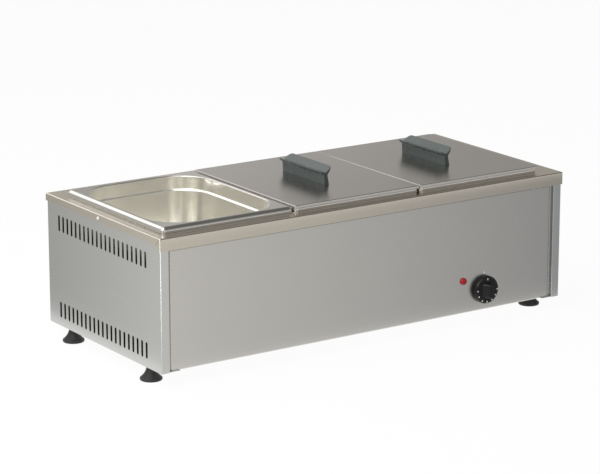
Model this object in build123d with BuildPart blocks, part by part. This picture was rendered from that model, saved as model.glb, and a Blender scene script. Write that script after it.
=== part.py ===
import os

from build123d import *

os.makedirs("parts", exist_ok=True)

# Counter-top bain marie, sizes in millimetres
# X runs from left to right, Y from front to back and Z up from the table

# Pans, gastronorm 1/2, standing side by side in one row
pan_names = ("left", "middle", "right")
pan_length = 263.8
pan_width = 323.8
pan_depth = 150.0
pan_sheet = 0.8
pan_gap = 3.1
pan_rim = 11.5
pan_rim_height = 10.6
pan_rim_corner = 8.0
pan_rim_bend = 7.0
pan_corner = 66.0
pan_mouth_radius = 2.0
pan_collar = 25.5
pan_ledge = 4.0
pan_ledge_radius = 1.5
pan_draft = 2.5
pan_floor_radius = 22.0
rest_gap = 0.2

# Lids
lid_names = ("middle", "right")
lid_sheet = 0.8
lid_skirt = 5.0
lid_clearance = 0.3
lid_corner = 2.0
lid_bend = 1.2

# Lid handles
handle_length = 133.0
handle_width = 29.0
handle_height = 32.5
handle_lean = 2.2
handle_left_drop = 5.5
handle_valley = 22.0
handle_base = 10.0
handle_neck = 7.5
handle_neck_height = 18.0
handle_wing = 2.6
handle_wing_radius = 5.0
handle_corner = 9.5
handle_edge = 0.8
handle_screw_spacing = 80.0
handle_screw_radius = 2.5
handle_screw_depth = 11.0
handle_screw_head = 4.5
handle_screw_head_height = 2.4
handle_screw_head_round = 1.2

# Casing of folded sheet
left_margin = 19.7
right_margin = 41.5
front_margin = 25.3
back_margin = 40.9
control_space = 74.9
water_depth = 19.5
top_sheet = 1.5
panel_sheet = 1.0
bend_radius = 2.0
front_apron = 22.5
side_apron = 13.0
mitre_gap = 0.8
well_clearance = 1.5
flange_width = 17.0
panel_recess = 6.0
panel_return = 3.0
panel_top_gap = 3.0
groove_width = 4.6
landing_overlap = 14.0
bottom_flange = 38.0
front_fold = 15.0
fold_gap = 1.0
tray_height = 12.0
tray_clearance = 0.5
back_panel_margin = 2.0

# Vent slots in the side panels
slot_width = 6.0
slot_height = 29.0
slot_pitch = 14.75
slot_front_margin = 50.5
slot_back_margin = 39.0
upper_slot_drop = 46.5
lower_slot_rise = 30.0

# Water tank and heating element
tank_sheet = 1.0
tank_clearance = 6.0
tank_corner = 14.0
tank_floor_radius = 2.5
tank_flange = 7.0
element_radius = 3.5
element_rise = 10.0
element_legs = 4
element_spacing = 60.0
element_end_gap = 24.0
element_bend = 29.0
element_outside = 16.0
bush_radius = 5.0
bush_collar_radius = 7.0
bush_collar = 2.0
bush_thread = 9.0
seal_thickness = 1.2
bush_nut_width = 13.0
bush_nut_height = 4.0
terminal_radius = 1.5
terminal_length = 9.0
rest_bar_width = 8.0
rest_bar_height = 9.0
rest_bar_reach = 12.0

# Thermostat, knob and pilot lamp
control_x_from_right = 172.0
knob_height = 38.7
knob_radius = 25.5
knob_panel_gap = 1.0
knob_skirt = 10.0
knob_bevel_depth = 3.0
knob_bevel_width = 1.5
knob_wall = 3.0
knob_hub_radius = 7.0
knob_recess = 7.0
knob_grip = 13.0
knob_grip_length = 29.0
knob_grip_width = 24.0
knob_grip_corner = 7.0
knob_grip_top_length = 24.0
knob_grip_top_width = 6.4
knob_grip_top_corner = 3.0
knob_grip_round = 1.0
knob_bore_depth = 12.0
spindle_radius = 3.0
spindle_hole_radius = 5.5
spindle_in_body = 12.0
spindle_end_gap = 0.15
thermostat_width = 36.0
thermostat_height = 34.0
thermostat_depth = 30.0
thermostat_corner = 3.0
blade_spacing = 16.0
blade_drop = 6.0
blade_sheet = 0.8
blade_width = 6.3
blade_length = 8.0
thermostat_screw_spacing = 28.0
thermostat_screw_radius = 2.0
thermostat_screw_head = 3.5
thermostat_screw_head_height = 1.6
thermostat_screw_depth = 6.0
capillary_radius = 1.0
capillary_bend = 8.0
capillary_run = 22.0
capillary_rise = 8.0
bulb_radius = 3.0
bulb_length = 70.0
bulb_gap = 0.2
bulb_clip_width = 12.0
bulb_clip_sheet = 1.0
bulb_clip_ear = 9.0
lamp_from_knob = 47.5
lamp_height = 60.0
lamp_radius = 6.5
lamp_collar = 1.2
lamp_dome = 3.6
lamp_body_radius = 4.8
lamp_body_length = 15.0
lamp_clip_radius = 8.0
lamp_clip = 1.0

# Terminal block and cable gland behind the back panel
gland_x_from_right = 110.0
gland_height = 38.0
gland_bore_radius = 5.0
gland_thread_radius = 8.0
gland_hex = 22.0
gland_hex_height = 6.0
gland_inside = 9.0
gland_nut_height = 4.0
dome_radius = 10.0
dome_mouth_radius = 7.0
dome_length = 17.0
dome_grip = 8.0
block_length = 42.0
block_width = 20.0
block_height = 18.0
block_from_back = 62.0
block_ways = 3
block_way_width = 9.0
block_way_radius = 3.0
block_corner = 2.0
block_screw_spacing = 32.0
block_screw_radius = 1.5
block_screw_head = 3.0
block_screw_head_height = 2.0

# Feet
foot_height = 28.5
foot_radius = 19.5
foot_rim = 4.0
foot_neck_radius = 8.0
foot_neck_height = 21.5
foot_hollow = 2.0
foot_edge = 1.6
foot_from_side = 19.5
foot_from_front = 66.5
foot_from_back = 56.0
foot_clearance = 0.3
stud_radius = 4.0
stud_in_foot = 18.0
stud_above = 12.0
stud_hole_radius = 4.8
foot_nut_width = 13.0
foot_nut_height = 6.5

# Small fasteners
screw_radius = 2.0
screw_head = 3.8
screw_head_height = 2.2
screw_head_round = 1.1
screw_grip = 6.0
back_screw_rows = 3
back_screw_margin = 28.0
base_screw_inset = 28.0
base_screw_margin = 26.0
rivet_radius = 1.6
rivet_head = 3.0
rivet_head_height = 1.2
rivet_head_round = 0.9
rivet_tail_radius = 2.4
rivet_tail = 1.5
rivet_from_front = 204.0
rivet_drop = 7.0
running_clearance = 0.05
hole_clearance = 0.15

# Overall sizes that follow from the row of pans
pan_pitch = pan_length + pan_gap
row_length = len(pan_names) * pan_length + (len(pan_names) - 1) * pan_gap
casing_length = left_margin + row_length + right_margin
casing_depth = front_margin + pan_width + back_margin
pan_below = pan_depth - pan_rim_height - rest_gap
casing_height = pan_below + water_depth + tank_sheet + control_space
# The panels stand just inside the rounded fold of the top panel's aprons
inset = bend_radius

# The origin is under the middle of everything, from the knob's face to the gland's mouth
knob_reach = knob_panel_gap + knob_skirt + knob_grip - inset - panel_recess
gland_reach = gland_hex_height + dome_length - inset
casing_y = (knob_reach - gland_reach) / 2
left = -casing_length / 2
right = casing_length / 2
front = casing_y - casing_depth / 2
back = casing_y + casing_depth / 2
bottom = foot_height
top = bottom + casing_height
deck_under = top - top_sheet
side_face = casing_length / 2 - inset
flange_face = front + inset
panel_face = flange_face + panel_recess
panel_back = panel_face + panel_sheet
landing_face = panel_face + panel_return
panel_top = top - front_apron - panel_top_gap
back_panel_face = back - inset
back_flange_face = back_panel_face - panel_sheet
row_x = left + left_margin + row_length / 2
row_y = front + front_margin + pan_width / 2
rim_top = top + rest_gap + pan_rim_height
pan_x = [left + left_margin + pan_length / 2 + i * pan_pitch for i in range(len(pan_names))]
control_x = right - control_x_from_right
knob_z = bottom + knob_height
lamp_z = bottom + lamp_height
gland_x = right - gland_x_from_right
gland_z = bottom + gland_height
foot_x = casing_length / 2 - foot_from_side
foot_front_y = front + foot_from_front
foot_back_y = back - foot_from_back
foot_places = {
    "front_left": (-foot_x, foot_front_y),
    "front_right": (foot_x, foot_front_y),
    "back_left": (-foot_x, foot_back_y),
    "back_right": (foot_x, foot_back_y),
}

# Pan walls, outside and inside, and the tank that surrounds them
pan_wall_length = pan_length - 2 * (pan_rim - pan_sheet)
pan_wall_width = pan_width - 2 * (pan_rim - pan_sheet)
well_length = pan_wall_length + 2 * well_clearance
well_width = pan_wall_width + 2 * well_clearance
tank_length = row_length - 2 * (pan_rim - pan_sheet) + 2 * (tank_clearance + tank_sheet)
tank_width = pan_wall_width + 2 * (tank_clearance + tank_sheet)
tank_bottom = bottom + control_space
tank_floor = tank_bottom + tank_sheet
tank_right = row_x + tank_length / 2
tray_bottom = bottom + panel_sheet

# Rivets and casing screws
rivet_y = front + rivet_from_front
rivet_z = top - rivet_drop
back_screw_x = side_face - flange_width / 2
back_screw_span = casing_height - front_apron - 2 * back_screw_margin
back_screw_pitch = back_screw_span / (back_screw_rows - 1)
back_screw_z = [bottom + back_screw_margin + i * back_screw_pitch for i in range(back_screw_rows)]
base_screw_x = side_face - base_screw_inset
base_screw_y = [foot_front_y - base_screw_margin, row_y, foot_back_y + base_screw_margin]


def facing(y):
    # Drawing plane seen from the front at depth y, with +X to the right and +Z up
    return Plane.XZ.offset(-y)


# Top panel: a folded cap with three wells and mitred front corners
with BuildPart() as top_panel:
    with BuildSketch(Plane.XY.offset(top)):
        with Locations((0, casing_y)):
            Rectangle(casing_length, casing_depth)
    extrude(amount=-front_apron)
    fillet(top_panel.edges().filter_by(Axis.Z), bend_radius)
    fillet(top_panel.faces().sort_by(Axis.Z)[-1].edges(), bend_radius)
    offset(amount=-top_sheet, openings=top_panel.faces().sort_by(Axis.Z)[0])
    # The side and back aprons are shallower than the front one
    with BuildSketch(Plane.YZ):
        with BuildLine():
            Polyline(
                (front + 2 * bend_radius, top - front_apron),
                (front + side_apron, top - side_apron),
                (back, top - side_apron),
                (back, top - front_apron),
                close=True,
            )
        make_face()
    extrude(amount=casing_length / 2, both=True, mode=Mode.SUBTRACT)
    # The mitre seam in each side apron
    with BuildSketch(Plane.YZ):
        with BuildLine():
            Polyline(
                (front + bend_radius, top - bend_radius),
                (front + side_apron, top - side_apron),
                (front + side_apron + mitre_gap, top - side_apron),
                (front + bend_radius + mitre_gap, top - bend_radius),
                close=True,
            )
        make_face()
    extrude(amount=casing_length / 2, both=True, mode=Mode.SUBTRACT)
    with BuildSketch(Plane.XY.offset(top)):
        with Locations(*[(x, row_y) for x in pan_x]):
            RectangleRounded(well_length, well_width, pan_corner + well_clearance)
    extrude(amount=-top_sheet, mode=Mode.SUBTRACT)
    with Locations(Plane.YZ):
        with Locations((rivet_y, rivet_z)):
            Cylinder(rivet_radius + hole_clearance, casing_length, mode=Mode.SUBTRACT)
top_panel.part.label = "top_panel"
export_step(top_panel.part, "parts/top_panel.step")

# Left side panel: front flange, landing for the front panel, slotted face, back and bottom flanges
slot_run = casing_depth - slot_front_margin - slot_back_margin
slot_count = int(slot_run / slot_pitch) + 1
slot_row_y = front + slot_front_margin + (slot_count - 1) * slot_pitch / 2
landing_reach = flange_width + groove_width + landing_overlap
with BuildPart() as left_side_panel:
    with BuildSketch(Plane.XY.offset(bottom)):
        with BuildLine():
            FilletPolyline(
                (-side_face + landing_reach, landing_face),
                (-side_face + flange_width, landing_face),
                (-side_face + flange_width, flange_face),
                (-side_face, flange_face),
                (-side_face, back_flange_face),
                (-side_face + flange_width, back_flange_face),
                radius=bend_radius,
            )
            offset(amount=panel_sheet, side=Side.RIGHT)
        make_face()
    extrude(amount=deck_under - bottom)
    with BuildSketch(Plane.XY.offset(bottom)):
        with Locations((-side_face + panel_sheet / 2, flange_face + bend_radius)):
            Rectangle(
                bottom_flange - panel_sheet / 2,
                back_flange_face - flange_face - 2 * bend_radius,
                align=(Align.MIN, Align.MIN),
            )
        with Locations((-foot_x, foot_front_y), (-foot_x, foot_back_y)):
            Circle(stud_hole_radius, mode=Mode.SUBTRACT)
        with Locations(*[(-base_screw_x, y) for y in base_screw_y]):
            Circle(screw_radius + hole_clearance, mode=Mode.SUBTRACT)
    extrude(amount=panel_sheet)
    with BuildSketch(Plane.YZ.offset(-side_face)):
        with Locations((slot_row_y, top - upper_slot_drop), (slot_row_y, bottom + lower_slot_rise)):
            with GridLocations(slot_pitch, 0, slot_count, 1):
                SlotOverall(slot_height, slot_width, rotation=90)
        with Locations((rivet_y, rivet_z)):
            Circle(rivet_radius + hole_clearance)
    extrude(amount=panel_sheet, mode=Mode.SUBTRACT)
    with BuildSketch(facing(back_flange_face)):
        with Locations(*[(-back_screw_x, z) for z in back_screw_z]):
            Circle(screw_radius + hole_clearance)
    extrude(amount=panel_sheet, mode=Mode.SUBTRACT)
left_side_panel.part.label = "left_side_panel"
export_step(left_side_panel.part, "parts/left_side_panel.step")

# Right side panel: the left one mirrored
with BuildPart() as right_side_panel:
    mirror(left_side_panel.part, about=Plane.YZ)
right_side_panel.part.label = "right_side_panel"
export_step(right_side_panel.part, "parts/right_side_panel.step")

# Front panel: its folded ends stand on the landings, and its lower edge is folded under
panel_half = side_face - flange_width - groove_width
fold_half = side_face - max(landing_reach, bottom_flange) - fold_gap
end_tab = panel_half - bend_radius - fold_half
tab_x = fold_half + end_tab / 2
with BuildPart() as front_panel:
    with BuildSketch(Plane.YZ):
        with BuildLine():
            FilletPolyline(
                (panel_face + front_fold, bottom),
                (panel_face, bottom),
                (panel_face, panel_top),
                radius=bend_radius,
            )
            offset(amount=panel_sheet, side=Side.RIGHT)
        make_face()
    extrude(amount=fold_half, both=True)
    with BuildSketch(Plane.XY.offset(bottom + bend_radius)):
        with BuildLine():
            FilletPolyline(
                (panel_half, landing_face),
                (panel_half, panel_face),
                (-panel_half, panel_face),
                (-panel_half, landing_face),
                radius=bend_radius,
            )
            offset(amount=panel_sheet, side=Side.RIGHT)
        make_face()
    extrude(amount=panel_top - bottom - bend_radius)
    with BuildSketch(facing(panel_face)):
        with Locations((-tab_x, tray_bottom), (tab_x, tray_bottom)):
            Rectangle(end_tab, bend_radius - panel_sheet, align=(Align.CENTER, Align.MIN))
    extrude(amount=-panel_sheet)
    with BuildSketch(facing(panel_face)):
        with Locations((control_x, knob_z)):
            Circle(spindle_hole_radius)
            with GridLocations(thermostat_screw_spacing, 0, 2, 1):
                Circle(thermostat_screw_radius + hole_clearance)
        with Locations((control_x - lamp_from_knob, lamp_z)):
            Circle(lamp_body_radius + hole_clearance)
    extrude(amount=-panel_sheet, mode=Mode.SUBTRACT)
front_panel.part.label = "front_panel"
export_step(front_panel.part, "parts/front_panel.step")

# Back panel: a flat cover screwed on the back flanges, with the cable entry
back_panel_half = side_face - back_panel_margin
with BuildPart() as back_panel:
    with BuildSketch(facing(back_panel_face)):
        with Locations((0, bottom)):
            Rectangle(2 * back_panel_half, deck_under - bottom, align=(Align.CENTER, Align.MIN))
        with Locations(*[(side * back_screw_x, z) for side in (-1, 1) for z in back_screw_z]):
            Circle(screw_radius + hole_clearance, mode=Mode.SUBTRACT)
        with Locations((gland_x, gland_z)):
            Circle(gland_thread_radius + hole_clearance, mode=Mode.SUBTRACT)
    extrude(amount=panel_sheet)
back_panel.part.label = "back_panel"
export_step(back_panel.part, "parts/back_panel.step")

# Base plate: a shallow tray on the bottom flanges
tray_front = landing_face + panel_sheet + tray_clearance
tray_back = back_flange_face - panel_sheet - tray_clearance
tray_half = side_face - panel_sheet - tray_clearance
block_y = back - block_from_back
with BuildPart() as base_plate:
    with BuildSketch(Plane.XY.offset(tray_bottom)):
        with Locations((0, (tray_front + tray_back) / 2)):
            RectangleRounded(2 * tray_half, tray_back - tray_front, bend_radius)
    extrude(amount=tray_height)
    fillet(base_plate.faces().sort_by(Axis.Z)[0].edges(), bend_radius)
    offset(amount=-panel_sheet, openings=base_plate.faces().sort_by(Axis.Z)[-1])
    with BuildSketch(Plane.XY.offset(tray_bottom)):
        with Locations(*foot_places.values()):
            Circle(stud_hole_radius)
        with Locations(*[(side * base_screw_x, y) for side in (-1, 1) for y in base_screw_y]):
            Circle(screw_radius + running_clearance)
        with Locations((gland_x, block_y)):
            with GridLocations(block_screw_spacing, 0, 2, 1):
                Circle(block_screw_radius + running_clearance)
    extrude(amount=panel_sheet, mode=Mode.SUBTRACT)
base_plate.part.label = "base_plate"
export_step(base_plate.part, "parts/base_plate.step")
tray_floor = tray_bottom + panel_sheet

# Rivets through the side aprons, a domed head outside and a set tail inside
with BuildPart() as apron_rivets:
    with BuildSketch(Plane.YZ.offset(casing_length / 2)):
        with Locations((rivet_y, rivet_z)):
            Circle(rivet_head)
    extrude(amount=rivet_head_height)
    fillet(apron_rivets.faces().sort_by(Axis.X)[-1].edges(), rivet_head_round)
    with BuildSketch(Plane.YZ.offset(casing_length / 2)):
        with Locations((rivet_y, rivet_z)):
            Circle(rivet_radius)
    extrude(amount=-(inset + panel_sheet))
    with BuildSketch(Plane.YZ.offset(side_face - panel_sheet)):
        with Locations((rivet_y, rivet_z)):
            Circle(rivet_tail_radius)
    extrude(amount=-rivet_tail)
    mirror(about=Plane.YZ)
apron_rivets.part.label = "apron_rivets"
export_step(apron_rivets.part, "parts/apron_rivets.step")

# Screws of the back panel
with BuildPart() as back_panel_screws:
    with BuildSketch(facing(back_panel_face)):
        with Locations(*[(side * back_screw_x, z) for side in (-1, 1) for z in back_screw_z]):
            Circle(screw_radius)
    extrude(amount=screw_grip)
    with BuildSketch(facing(back_panel_face)):
        with Locations(*[(side * back_screw_x, z) for side in (-1, 1) for z in back_screw_z]):
            Circle(screw_head)
    extrude(amount=-screw_head_height)
    fillet(back_panel_screws.faces().filter_by(Axis.Y).group_by(Axis.Y)[-1].edges(), screw_head_round)
back_panel_screws.part.label = "back_panel_screws"
export_step(back_panel_screws.part, "parts/back_panel_screws.step")

# Screws of the base plate, put in from below
with BuildPart() as base_plate_screws:
    with BuildSketch(Plane.XY.offset(bottom)):
        with Locations(*[(side * base_screw_x, y) for side in (-1, 1) for y in base_screw_y]):
            Circle(screw_radius)
    extrude(amount=screw_grip)
    with BuildSketch(Plane.XY.offset(bottom)):
        with Locations(*[(side * base_screw_x, y) for side in (-1, 1) for y in base_screw_y]):
            Circle(screw_head)
    extrude(amount=-screw_head_height)
    fillet(base_plate_screws.faces().filter_by(Axis.Z).group_by(Axis.Z)[0].edges(), screw_head_round)
base_plate_screws.part.label = "base_plate_screws"
export_step(base_plate_screws.part, "parts/base_plate_screws.step")

# Water tank: one tub under all three wells, its flange welded to the deck
element_y = [row_y + (i - (element_legs - 1) / 2) * element_spacing for i in range(element_legs)]
element_z = tank_floor + element_rise
element_ends = (element_y[0], element_y[-1])
with BuildPart() as water_tank:
    with BuildSketch(Plane.XY.offset(tank_bottom)):
        with Locations((row_x, row_y)):
            RectangleRounded(tank_length, tank_width, tank_corner)
    extrude(amount=deck_under - tank_bottom)
    fillet(water_tank.faces().sort_by(Axis.Z)[0].edges(), tank_floor_radius + tank_sheet)
    offset(amount=-tank_sheet, openings=water_tank.faces().sort_by(Axis.Z)[-1])
    with BuildSketch(Plane.XY.offset(deck_under)):
        with Locations((row_x, row_y)):
            RectangleRounded(
                tank_length + 2 * tank_flange,
                tank_width + 2 * tank_flange,
                tank_corner + tank_flange,
            )
            RectangleRounded(
                tank_length - tank_sheet,
                tank_width - tank_sheet,
                tank_corner,
                mode=Mode.SUBTRACT,
            )
    extrude(amount=-tank_sheet)
    with BuildSketch(Plane.YZ.offset(tank_right)):
        with Locations(*[(y, element_z) for y in element_ends]):
            Circle(bush_radius + hole_clearance)
    extrude(amount=-tank_sheet, mode=Mode.SUBTRACT)
water_tank.part.label = "water_tank"
export_step(water_tank.part, "parts/water_tank.step")

# Heating element: one tube in four legs, both ends out through the right wall
element_left = row_x - tank_length / 2 + tank_sheet + element_end_gap
element_turn = tank_right - tank_sheet - element_end_gap
element_end = tank_right + element_outside
element_points = []
for i, y in enumerate(element_y):
    right_end = element_end if y in element_ends else element_turn
    leg = [(right_end, y), (element_left, y)]
    element_points += leg if i % 2 == 0 else leg[::-1]
with BuildPart() as heating_element:
    with BuildLine(Plane.XY.offset(element_z)) as element_route:
        FilletPolyline(*element_points, radius=element_bend)
    with BuildSketch(Plane(element_route.line @ 0, z_dir=element_route.line % 0)):
        Circle(element_radius)
    sweep(path=element_route.line)
heating_element.part.label = "heating_element"
export_step(heating_element.part, "parts/heating_element.step")

# Bushings brazed on the element's ends, a collar inside the tank wall and a thread through it
wall_inside = tank_right - tank_sheet
with BuildPart() as element_bushings:
    with BuildSketch(Plane.YZ.offset(wall_inside - seal_thickness)):
        with Locations(*[(y, element_z) for y in element_ends]):
            Circle(bush_collar_radius)
    extrude(amount=-bush_collar)
    with BuildSketch(Plane.YZ.offset(wall_inside - seal_thickness)):
        with Locations(*[(y, element_z) for y in element_ends]):
            Circle(bush_radius)
    extrude(amount=bush_thread)
    with BuildSketch(Plane.YZ.offset(wall_inside - seal_thickness - bush_collar)):
        with Locations(*[(y, element_z) for y in element_ends]):
            Circle(element_radius + running_clearance)
    extrude(amount=bush_collar + bush_thread, mode=Mode.SUBTRACT)
element_bushings.part.label = "element_bushings"
export_step(element_bushings.part, "parts/element_bushings.step")

# Seals between the collars and the tank wall
with BuildPart() as element_seals:
    with BuildSketch(Plane.YZ.offset(wall_inside)):
        with Locations(*[(y, element_z) for y in element_ends]):
            Circle(bush_collar_radius)
            Circle(bush_radius + running_clearance, mode=Mode.SUBTRACT)
    extrude(amount=-seal_thickness)
element_seals.part.label = "element_seals"
export_step(element_seals.part, "parts/element_seals.step")

# Nuts that draw the bushings up from outside
with BuildPart() as element_nuts:
    with BuildSketch(Plane.YZ.offset(tank_right)):
        with Locations(*[(y, element_z) for y in element_ends]):
            RegularPolygon(bush_nut_width / 2, 6, major_radius=False)
            Circle(bush_radius + running_clearance, mode=Mode.SUBTRACT)
    extrude(amount=bush_nut_height)
element_nuts.part.label = "element_nuts"
export_step(element_nuts.part, "parts/element_nuts.step")

# Terminal pins at the element's ends
with BuildPart() as element_terminals:
    with BuildSketch(Plane.YZ.offset(element_end)):
        with Locations(*[(y, element_z) for y in element_ends]):
            Circle(terminal_radius)
    extrude(amount=terminal_length)
element_terminals.part.label = "element_terminals"
export_step(element_terminals.part, "parts/element_terminals.step")

# Notched bars on the tank floor that carry the element
rest_bar_length = element_y[-1] - element_y[0] + 2 * (element_radius + rest_bar_reach)
with BuildPart() as element_rests:
    with BuildSketch(Plane.YZ.offset(row_x - pan_pitch), Plane.YZ.offset(row_x + pan_pitch)):
        with Locations((row_y, tank_floor)):
            Rectangle(rest_bar_length, rest_bar_height, align=(Align.CENTER, Align.MIN))
        with Locations(*[(y, element_z) for y in element_y]):
            Circle(element_radius + running_clearance, mode=Mode.SUBTRACT)
    extrude(amount=rest_bar_width / 2, both=True)
element_rests.part.label = "element_rests"
export_step(element_rests.part, "parts/element_rests.step")

# Thermostat body behind the front panel, with its spindle bore and blade terminals
thermostat_back = panel_back + thermostat_depth
with BuildPart() as thermostat_body:
    with BuildSketch(facing(panel_back)):
        with Locations((control_x, knob_z)):
            RectangleRounded(thermostat_width, thermostat_height, thermostat_corner)
    extrude(amount=-thermostat_depth)
    with BuildSketch(facing(thermostat_back)):
        with Locations((control_x, knob_z - blade_drop)):
            with GridLocations(blade_spacing, 0, 2, 1):
                Rectangle(blade_sheet, blade_width)
    extrude(amount=-blade_length)
    with BuildSketch(facing(panel_back)):
        with Locations((control_x, knob_z)):
            Circle(spindle_radius + running_clearance)
    extrude(amount=-spindle_in_body, mode=Mode.SUBTRACT)
    with BuildSketch(facing(panel_back)):
        with Locations((control_x, knob_z)):
            with GridLocations(thermostat_screw_spacing, 0, 2, 1):
                Circle(thermostat_screw_radius + running_clearance)
    extrude(amount=-thermostat_screw_depth, mode=Mode.SUBTRACT)
thermostat_body.part.label = "thermostat_body"
export_step(thermostat_body.part, "parts/thermostat_body.step")

# Screws that hold the thermostat, with their heads under the knob's skirt
with BuildPart() as thermostat_screws:
    with BuildSketch(facing(panel_face)):
        with Locations((control_x, knob_z)):
            with GridLocations(thermostat_screw_spacing, 0, 2, 1):
                Circle(thermostat_screw_radius)
    extrude(amount=-(panel_sheet + thermostat_screw_depth - hole_clearance))
    with BuildSketch(facing(panel_face)):
        with Locations((control_x, knob_z)):
            with GridLocations(thermostat_screw_spacing, 0, 2, 1):
                Circle(thermostat_screw_head)
    extrude(amount=thermostat_screw_head_height)
thermostat_screws.part.label = "thermostat_screws"
export_step(thermostat_screws.part, "parts/thermostat_screws.step")

# Knob: a bevelled skirt, hollow behind, with a tapered grip bar across it
knob_back = panel_face - knob_panel_gap
knob_front = knob_back - knob_skirt
with BuildPart() as control_knob:
    with BuildSketch(facing(knob_back)):
        with Locations((control_x, knob_z)):
            Circle(knob_radius)
    extrude(amount=knob_skirt)
    chamfer(
        control_knob.faces().sort_by(Axis.Y)[0].edges(),
        length=knob_bevel_depth,
        length2=knob_bevel_width,
    )
    with BuildSketch(facing(knob_front)):
        with Locations((control_x, knob_z)):
            RectangleRounded(knob_grip_width, knob_grip_length, knob_grip_corner)
    with BuildSketch(facing(knob_front - knob_grip)):
        with Locations((control_x, knob_z)):
            RectangleRounded(knob_grip_top_width, knob_grip_top_length, knob_grip_top_corner)
    loft()
    fillet(control_knob.faces().sort_by(Axis.Y)[0].edges(), knob_grip_round)
    with BuildSketch(facing(knob_back)):
        with Locations((control_x, knob_z)):
            Circle(knob_radius - knob_wall)
            Circle(knob_hub_radius, mode=Mode.SUBTRACT)
    extrude(amount=knob_recess, mode=Mode.SUBTRACT)
    with BuildSketch(facing(knob_back)):
        with Locations((control_x, knob_z)):
            Circle(spindle_radius + running_clearance)
    extrude(amount=knob_bore_depth, mode=Mode.SUBTRACT)
control_knob.part.label = "control_knob"
export_step(control_knob.part, "parts/control_knob.step")

# Spindle that the knob turns in the thermostat
spindle_front = knob_back - knob_bore_depth + spindle_end_gap
spindle_back = panel_back + spindle_in_body - spindle_end_gap
with BuildPart() as thermostat_spindle:
    with BuildSketch(facing(spindle_front)):
        with Locations((control_x, knob_z)):
            Circle(spindle_radius)
    extrude(amount=spindle_front - spindle_back)
thermostat_spindle.part.label = "thermostat_spindle"
export_step(thermostat_spindle.part, "parts/thermostat_spindle.step")

# Sensing bulb under the tank floor
bulb_z = tank_bottom - bulb_gap - bulb_radius
bulb_y = thermostat_back + 2 * capillary_run
with BuildPart() as thermostat_bulb:
    with BuildSketch(facing(bulb_y)):
        with Locations((control_x, bulb_z)):
            Circle(bulb_radius)
    extrude(amount=-bulb_length)
thermostat_bulb.part.label = "thermostat_bulb"
export_step(thermostat_bulb.part, "parts/thermostat_bulb.step")

# Capillary from the thermostat to the bulb
capillary_z = knob_z + capillary_rise
with BuildPart() as capillary_tube:
    with BuildLine(Plane.YZ.offset(control_x)) as capillary_route:
        FilletPolyline(
            (thermostat_back, capillary_z),
            (thermostat_back + capillary_run, capillary_z),
            (thermostat_back + capillary_run, bulb_z),
            (bulb_y, bulb_z),
            radius=capillary_bend,
        )
    with BuildSketch(Plane(capillary_route.line @ 0, z_dir=capillary_route.line % 0)):
        Circle(capillary_radius)
    sweep(path=capillary_route.line)
capillary_tube.part.label = "capillary_tube"
export_step(capillary_tube.part, "parts/capillary_tube.step")

# Strap that holds the bulb against the tank floor
bulb_seat = bulb_radius + running_clearance
bulb_drop = tank_bottom - bulb_z
with BuildPart() as bulb_clip:
    with BuildSketch(facing(bulb_y + bulb_length / 2)):
        with Locations((control_x, bulb_z)):
            Circle(bulb_seat + bulb_clip_sheet)
            Rectangle(2 * (bulb_seat + bulb_clip_sheet), bulb_drop, align=(Align.CENTER, Align.MIN))
        with Locations((control_x, tank_bottom)):
            Rectangle(2 * bulb_clip_ear, bulb_clip_sheet, align=(Align.CENTER, Align.MAX))
            Rectangle(2 * bulb_clip_ear, 2 * bulb_drop, align=(Align.CENTER, Align.MIN), mode=Mode.SUBTRACT)
        with Locations((control_x, bulb_z)):
            Circle(bulb_seat, mode=Mode.SUBTRACT)
            Rectangle(2 * bulb_seat, bulb_drop, align=(Align.CENTER, Align.MIN), mode=Mode.SUBTRACT)
    extrude(amount=bulb_clip_width / 2, both=True)
bulb_clip.part.label = "bulb_clip"
export_step(bulb_clip.part, "parts/bulb_clip.step")

# Pilot lamp: a domed lens on the panel, its body through the panel and a spring clip behind
lamp_x = control_x - lamp_from_knob
with BuildPart() as pilot_lamp_lens:
    with BuildSketch(facing(panel_face)):
        with Locations((lamp_x, lamp_z)):
            Circle(lamp_radius)
    extrude(amount=lamp_collar + lamp_dome)
    fillet(pilot_lamp_lens.faces().sort_by(Axis.Y)[0].edges(), lamp_dome)
pilot_lamp_lens.part.label = "pilot_lamp_lens"
export_step(pilot_lamp_lens.part, "parts/pilot_lamp_lens.step")

with BuildPart() as pilot_lamp_body:
    with BuildSketch(facing(panel_face)):
        with Locations((lamp_x, lamp_z)):
            Circle(lamp_body_radius)
    extrude(amount=-(panel_sheet + lamp_body_length))
pilot_lamp_body.part.label = "pilot_lamp_body"
export_step(pilot_lamp_body.part, "parts/pilot_lamp_body.step")

with BuildPart() as pilot_lamp_clip:
    with BuildSketch(facing(panel_back)):
        with Locations((lamp_x, lamp_z)):
            Circle(lamp_clip_radius)
            Circle(lamp_body_radius + running_clearance, mode=Mode.SUBTRACT)
    extrude(amount=-lamp_clip)
pilot_lamp_clip.part.label = "pilot_lamp_clip"
export_step(pilot_lamp_clip.part, "parts/pilot_lamp_clip.step")

# Terminal block on the base plate, open at both ends of each way
with BuildPart() as terminal_block:
    with BuildSketch(Plane.XY.offset(tray_floor)):
        with Locations((gland_x, block_y)):
            RectangleRounded(block_length, block_width, block_corner)
            with GridLocations(block_screw_spacing, 0, 2, 1):
                Circle(block_screw_radius + hole_clearance, mode=Mode.SUBTRACT)
    extrude(amount=block_height)
    with BuildSketch(facing(block_y)):
        with Locations((gland_x, tray_floor + block_height / 2)):
            with GridLocations(block_way_width, 0, block_ways, 1):
                Circle(block_way_radius)
    extrude(amount=block_width, both=True, mode=Mode.SUBTRACT)
terminal_block.part.label = "terminal_block"
export_step(terminal_block.part, "parts/terminal_block.step")

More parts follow.
